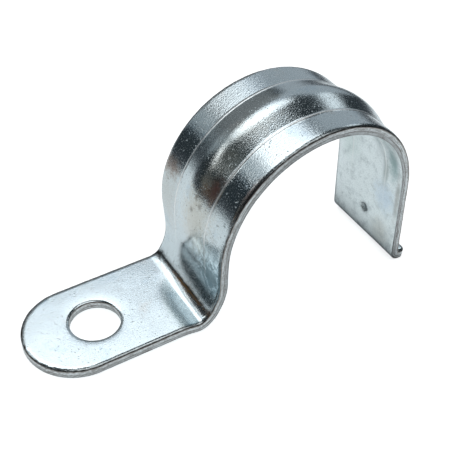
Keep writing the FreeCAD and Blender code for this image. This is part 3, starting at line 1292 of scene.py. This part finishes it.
@dataclass
class Studio:
    """Pale floor, soft lamps and the camera of the picture."""

    camera_place: tuple[float, float, float] = (-21.679, -61.227, 71.038)
    camera_azimuth: float = -31.001
    camera_elevation: float = 41.868
    camera_roll: float = 0.514
    focal_px: float = 939.48
    picture_px: float = 450.0
    sensor_mm: float = 36.0
    clip_m: tuple[float, float] = (0.005, 20.0)
    aim: tuple[float, float, float] = (14.4, 0.0, 8.0)
    floor_size: float = 6.0
    floor_colour: str = "e6e7e8"
    floor_blue: str = "eff4f6"
    floor_dusk: str = "18222c"
    paper_glow: float = 0.72
    sheet_glow: float = 0.42
    far_share: float = 0.08
    shade_share: float = 0.15
    surround: str = "31383c"
    white_reach: tuple[float, float] = (0.062, 0.105)
    toe_shade: tuple[float, float] = (0.0335, 0.0030)
    lamps: tuple[Lamp, ...] = (
        Lamp("overhead_softbox", -7, 59.7, 0.54, 0.285, 1.60, "f8fcff", LampShape.DISC),
        Lamp("softbox_centre", -15, 62, 0.32, 0.22, 0.80, "ffffff", LampShape.DISC),
        Lamp("softbox_left_wing", -26, 44, 0.15, 0.06, 1.10, "ffffff", LampShape.DISC, -22.0),
        Lamp("softbox_lower_corner", 20, 43, 0.15, 0.08, 0.36, "dcecff"),
        Lamp("ceiling_card", 0, 89, 0.20, 0.20, 0.12, "f4efe2"),
        Lamp("rear_wall_card", 2, 27, 0.40, 0.24, 0.22, "f6f8f8"),
        Lamp("right_wall_card", 44, 15, 0.29, 0.48, 0.52, "dde7ef"),
        Lamp("right_window_card", 67, 29, 0.11, 0.15, 1.25, "f4fbff", LampShape.DISC),
        Lamp("left_window_card", -57, 32, 0.22, 0.08, 1.90, "ffffff", LampShape.DISC, -29.0),
        Lamp("rear_left_strip", -33, 28, 0.12, 0.44, 0.36, "e4f0f6", LampShape.PANEL, -40.0),
        Lamp("upper_left_card", -42, 41, 0.22, 0.10, 0.35, "dfe9ee"),
        Lamp("left_wall_card", -77, 38, 0.17, 0.22, 0.12, "e4e6dc"),
        Lamp("low_left_card", -70, 12, 0.16, 0.09, 0.17, "e8e2d2"),
        Lamp("low_timber_card", -84, 4, 0.22, 0.10, 0.24, "c08a5a"),
        Lamp("front_softbox", 165, 66, 0.55, 0.35, 1.4),
    )

    def direction(self, azimuth: float, elevation: float) -> Vector:
        """Turns a direction into a unit vector.

        Args:
            azimuth: Degrees from +Y, towards +X.
            elevation: Degrees above the horizon.

        Returns:
            The unit vector.
        """
        a, e = math.radians(azimuth), math.radians(elevation)
        return Vector((math.sin(a) * math.cos(e), math.cos(a) * math.cos(e), math.sin(e)))

    def place_camera(self) -> None:
        """Sets the camera up as the picture has it."""
        a, e = math.radians(self.camera_azimuth), math.radians(self.camera_elevation)
        back = Vector((math.sin(a) * math.cos(e), -math.cos(a) * math.cos(e), math.sin(e)))
        level = Vector((math.cos(a), math.sin(a), 0.0))
        upright = back.cross(level)
        roll = math.radians(self.camera_roll)
        right = level * math.cos(roll) + upright * math.sin(roll)
        up = upright * math.cos(roll) - level * math.sin(roll)
        data = bpy.data.cameras.new("picture_camera")
        data.sensor_width = self.sensor_mm
        data.lens = self.focal_px / self.picture_px * self.sensor_mm
        data.clip_start, data.clip_end = self.clip_m
        camera = add_object("picture_camera", data)
        turn = Matrix((right, up, back)).transposed().to_4x4()
        camera.matrix_world = Matrix.Translation(Vector(self.camera_place) * METRES_PER_MM) @ turn
        bpy.context.scene.camera = camera

    def lay_floor(self, contacts: tuple[Vector, Vector]) -> None:
        """Lays the floor under the strap, so that it rests on its tab's end and its toe.

        Args:
            contacts: The two places in the side view that touch the floor, in millimetres.
        """
        bm = bmesh.new()
        bmesh.ops.create_grid(bm, x_segments=1, y_segments=1, size=self.floor_size / 2)
        first, second = contacts
        slope = math.atan2(second.y - first.y, second.x - first.x)
        bmesh.ops.rotate(bm, verts=bm.verts[:], cent=(0, 0, 0),
                         matrix=Matrix.Rotation(-slope, 3, "Y"))
        bmesh.ops.translate(bm, verts=bm.verts[:],
                            vec=Vector((first.x, 0.0, first.y)) * METRES_PER_MM)
        mesh = finished_mesh(bm, "floor")
        mesh.materials.append(self.floor_finish())
        floor = add_object("floor", mesh)

    def floor_finish(self) -> bpy.types.Material:
        """Matt white paper, shown white to the camera and as a white sheet to reflections.

        Returns:
            The floor's material.
        """
        material = empty_material("matt_white_paper")
        tree = material.node_tree
        shown = add_node(tree, Node.TIMES, add_node(tree, Node.CAMERA_RAY), self.paper_glow)
        paper = self._lit_sheet(tree, linear(self.floor_colour), linear("ffffff"), shown)
        tone = add_node(tree, Node.COLOUR_MIX, self._sheet_share(tree), linear(self.floor_dusk),
                        linear(self.floor_blue))
        mirrored = add_node(tree, Node.PLUS, add_node(tree, Node.GLOSSY_RAY),
                            add_node(tree, Node.TRANSMISSION_RAY))
        sheet = self._lit_sheet(tree, tone, tone, self.sheet_glow)
        add_node(tree, Node.SURFACE, add_node(tree, Node.EITHER, mirrored, paper, sheet))
        return material

    @staticmethod
    def _lit_sheet(tree: Tree, colour: Socket | tuple, glow_colour: Socket | tuple,
                   glow: Socket | float) -> Socket:
        """A matt sheet that also gives light of its own.

        Args:
            tree: The floor's node tree.
            colour: Colour of the sheet.
            glow_colour: Colour of its own light.
            glow: Strength of that light.

        Returns:
            The sheet's shader.
        """
        return add_node(tree, Node.BOTH, add_node(tree, Node.MATT, colour),
                        add_node(tree, Node.GLOW, glow_colour, glow))

    def _sheet_share(self, tree: Tree) -> Socket:
        """How white the mirrored sheet is: less far away, and in the toe's shade.

        Args:
            tree: The floor's node tree.

        Returns:
            The share of white.
        """
        spot = add_node(tree, Node.OBJECT_PLACE)
        across = add_node(tree, Node.STRETCHED, spot, Vector((1.0, 0.0, 0.0)))
        toe, shade_width = self.toe_shade
        away = add_node(tree, Node.DISTANCE, spot, Vector(self.aim) * METRES_PER_MM)
        beside = add_node(tree, Node.DISTANCE, across, Vector((toe, 0.0, 0.0)))
        near = add_node(tree, Node.EASE, away, *self.white_reach, 1.0, self.far_share)
        in_light = add_node(tree, Node.EASE, beside, 0.0, shade_width, self.shade_share, 1.0)
        return add_node(tree, Node.TIMES, near, in_light)

    def hang_lamps(self) -> None:
        """Hangs the soft lamps round the strap."""
        aim = Vector(self.aim) * METRES_PER_MM
        for lamp in self.lamps:
            data = bpy.data.lights.new(lamp.name, "AREA")
            data.shape = lamp.shape.value
            data.size, data.size_y = lamp.width, lamp.height
            data.energy = lamp.radiance * math.pi * lamp.area
            data.color = linear(lamp.colour)[:3]
            light = add_object(lamp.name, data)
            towards = self.direction(lamp.azimuth, lamp.elevation)
            turn = towards.to_track_quat("Z", "Y").to_matrix().to_4x4()
            turn = turn @ Matrix.Rotation(math.radians(lamp.tilt), 4, "Z")
            light.matrix_world = Matrix.Translation(aim + towards * lamp.distance) @ turn
            light.visible_camera = False

    def light_surround(self) -> None:
        """Gives the room its dim grey, and white where the camera looks past the floor."""
        world = bpy.data.worlds.new("studio")
        world.use_nodes = True
        tree = world.node_tree
        tree.nodes.clear()
        room = add_node(tree, Node.BACKGROUND, linear(self.surround))
        white = add_node(tree, Node.BACKGROUND, linear("ffffff"))
        add_node(tree, Node.WORLD, add_node(
            tree, Node.EITHER, add_node(tree, Node.CAMERA_RAY), room, white))
        bpy.context.scene.world = world

    def build(self, contacts: tuple[Vector, Vector]) -> None:
        """Sets up the whole studio.

        Args:
            contacts: The two places in the side view that touch the floor, in millimetres.
        """
        bpy.context.scene.view_settings.view_transform = "Standard"
        self.place_camera()
        self.lay_floor(contacts)
        self.hang_lamps()
        self.light_surround()


def main() -> None:
    """Builds the strap and its studio, and reports each piece."""
    logging.basicConfig(level=logging.INFO, format="%(name)s: %(message)s")
    design = PressedStrap()
    strap = design.build()
    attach(strap, "root")
    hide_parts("strap")
    log.info("strap: %d vertices, %d faces", len(strap.data.vertices), len(strap.data.polygons))
    Studio().build(design.floor_contacts())


if __name__ == "__main__":
    main()
